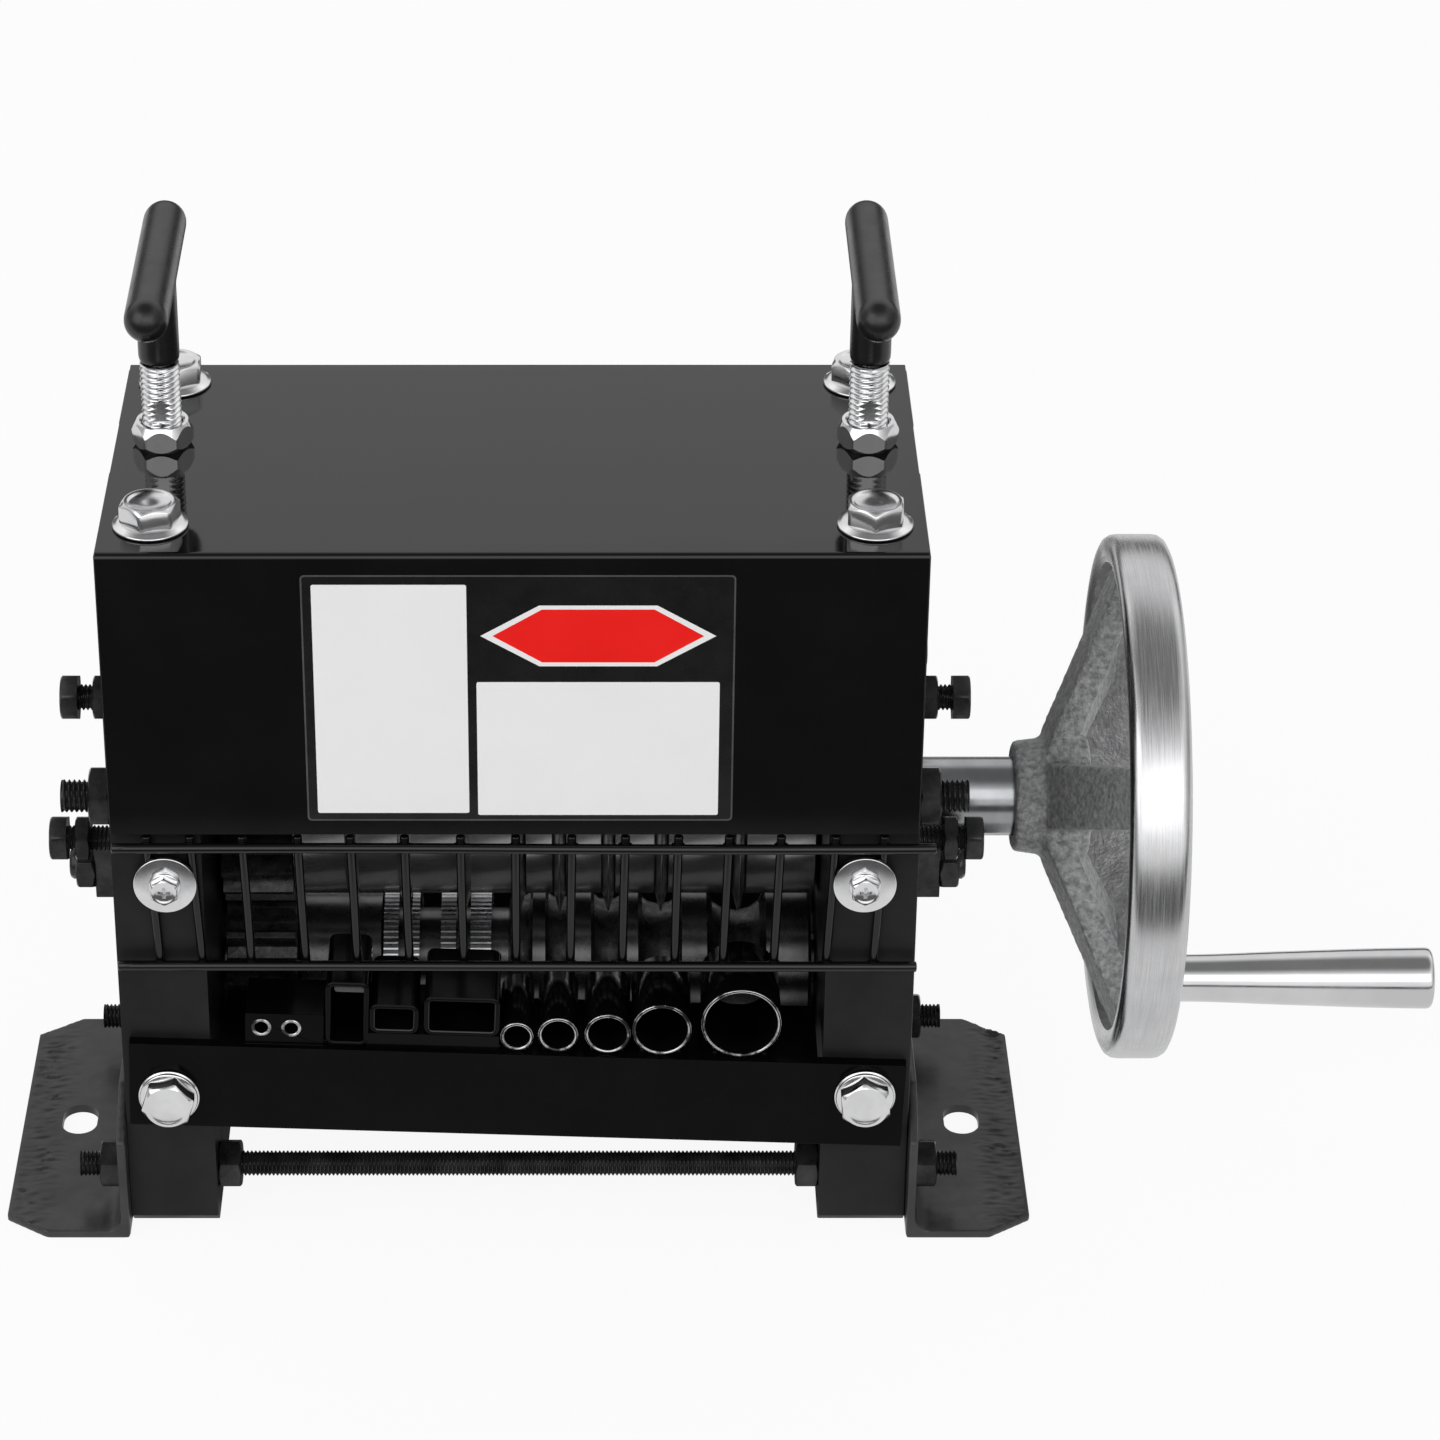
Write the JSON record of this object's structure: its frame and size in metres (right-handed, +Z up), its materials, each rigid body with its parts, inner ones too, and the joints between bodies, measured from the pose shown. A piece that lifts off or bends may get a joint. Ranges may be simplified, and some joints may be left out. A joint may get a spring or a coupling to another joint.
{
  "type": "hand crank wire stripper",
  "caption": "Bench-top hand crank wire stripper with a black folded cover, sized feed pipes, toothed roller drive, spoked hand wheel and two tee handled pressure screws.",
  "frame": {"origin": "centre of the footprint on the bench", "axes": "+X along the shafts towards the crank handle, -Y towards the feed openings, +Z up"},
  "size_m": [0.4514, 0.164, 0.3006],
  "materials": {
    "black_paint": "gloss",
    "grey_paint": "satin",
    "bearing_block": "machined and oiled",
    "zinc": "bright zinc plate",
    "vinyl": "dipped, satin",
    "black_oxide": "black oxide",
    "bright_steel": "turned",
    "roller_steel": "turned and knurled",
    "cast_grey": "rough cast with a polished rim",
    "polished_steel": "polished"
  },
  "bodies": {
    "frame": {"side_frame_left": "black_paint", "foot_left": "grey_paint", "lower_block_left": "bearing_block", "lock_nut_left": "zinc", "guard_screw_left": "zinc", "bar_bolt_left": "zinc", "cover_bolt_front_left": "zinc", "cover_bolt_back_left": "zinc", "side_bolt_upper_left": "black_oxide", "side_bolt_lower_left": "black_oxide", "clamp_block_left": "black_oxide", "side_frame_right": "black_paint", "foot_right": "grey_paint", "lower_block_right": "bearing_block", "lock_nut_right": "zinc", "guard_screw_right": "zinc", "bar_bolt_right": "zinc", "cover_bolt_front_right": "zinc", "cover_bolt_back_right": "zinc", "side_bolt_upper_right": "black_oxide", "side_bolt_lower_right": "black_oxide", "clamp_block_right": "black_oxide", "top_cover": "black_paint", "front_bar": "black_paint", "wire_guard": "black_paint", "flat_feed": "black_paint", "rear_bar": "black_paint", "round_feed_1": "black_paint", "round_feed_2": "black_paint", "round_feed_3": "black_paint", "round_feed_4": "black_paint", "round_feed_5": "black_paint", "lower_rod_front": "black_oxide", "upper_rod_front": "black_oxide", "lower_rod_back": "black_oxide", "upper_rod_back": "black_oxide"},
    "blade_carriage": {"upper_block_left": "bearing_block", "upper_block_right": "bearing_block"},
    "tee_left": {"tee_screw_left": "zinc", "tee_grip_left": "vinyl"},
    "tee_right": {"tee_screw_right": "zinc", "tee_grip_right": "vinyl"},
    "cutter": {"blade_shaft": "bright_steel", "upper_gear": "black_oxide", "spacer_1": "black_oxide", "spacer_2": "black_oxide", "spacer_3": "black_oxide", "spacer_4": "black_oxide", "spacer_5": "black_oxide", "spacer_6": "black_oxide", "blade_1": "bright_steel", "blade_2": "bright_steel", "blade_3": "bright_steel", "blade_4": "bright_steel", "blade_5": "bright_steel", "hand_wheel": "cast_grey", "crank_spindle": "bright_steel"},
    "roller": {"feed_roller": "roller_steel", "lower_gear": "black_oxide"},
    "crank_handle": {"crank_grip": "polished_steel"}
  },
  "joints": [
    {"name": "carriage_lift", "type": "slide", "parent": "frame", "child": "blade_carriage", "axis": [0, 0, 1], "range_m": [0, 0.0035]},
    {"name": "tee_left_turn", "type": "hinge", "parent": "blade_carriage", "child": "tee_left", "pos_m": [-0.1713, 0, 0.2385], "axis": [0, 0, 1], "range_deg": [0, 720]},
    {"name": "tee_right_turn", "type": "hinge", "parent": "blade_carriage", "child": "tee_right", "pos_m": [0.0399, 0, 0.2385], "axis": [0, 0, 1], "range_deg": [0, 720]},
    {"name": "cutter_spin", "type": "hinge", "parent": "blade_carriage", "child": "cutter", "pos_m": [-0.0657, 0, 0.115], "axis": [1, 0, 0], "continuous": true},
    {"name": "roller_spin", "type": "hinge", "parent": "frame", "child": "roller", "pos_m": [-0.0657, 0, 0.055], "axis": [1, 0, 0], "continuous": true},
    {"name": "crank_handle_spin", "type": "hinge", "parent": "cutter", "child": "crank_handle", "pos_m": [0.1743, 0, 0.047], "axis": [1, 0, 0], "continuous": true}
  ],
  "couplings": [
    {"joint": "tee_left_turn", "follows": "carriage_lift", "rad_per_m": 3590},
    {"joint": "tee_right_turn", "follows": "carriage_lift", "rad_per_m": 3590},
    {"joint": "roller_spin", "follows": "cutter_spin", "ratio": -1}
  ]
}
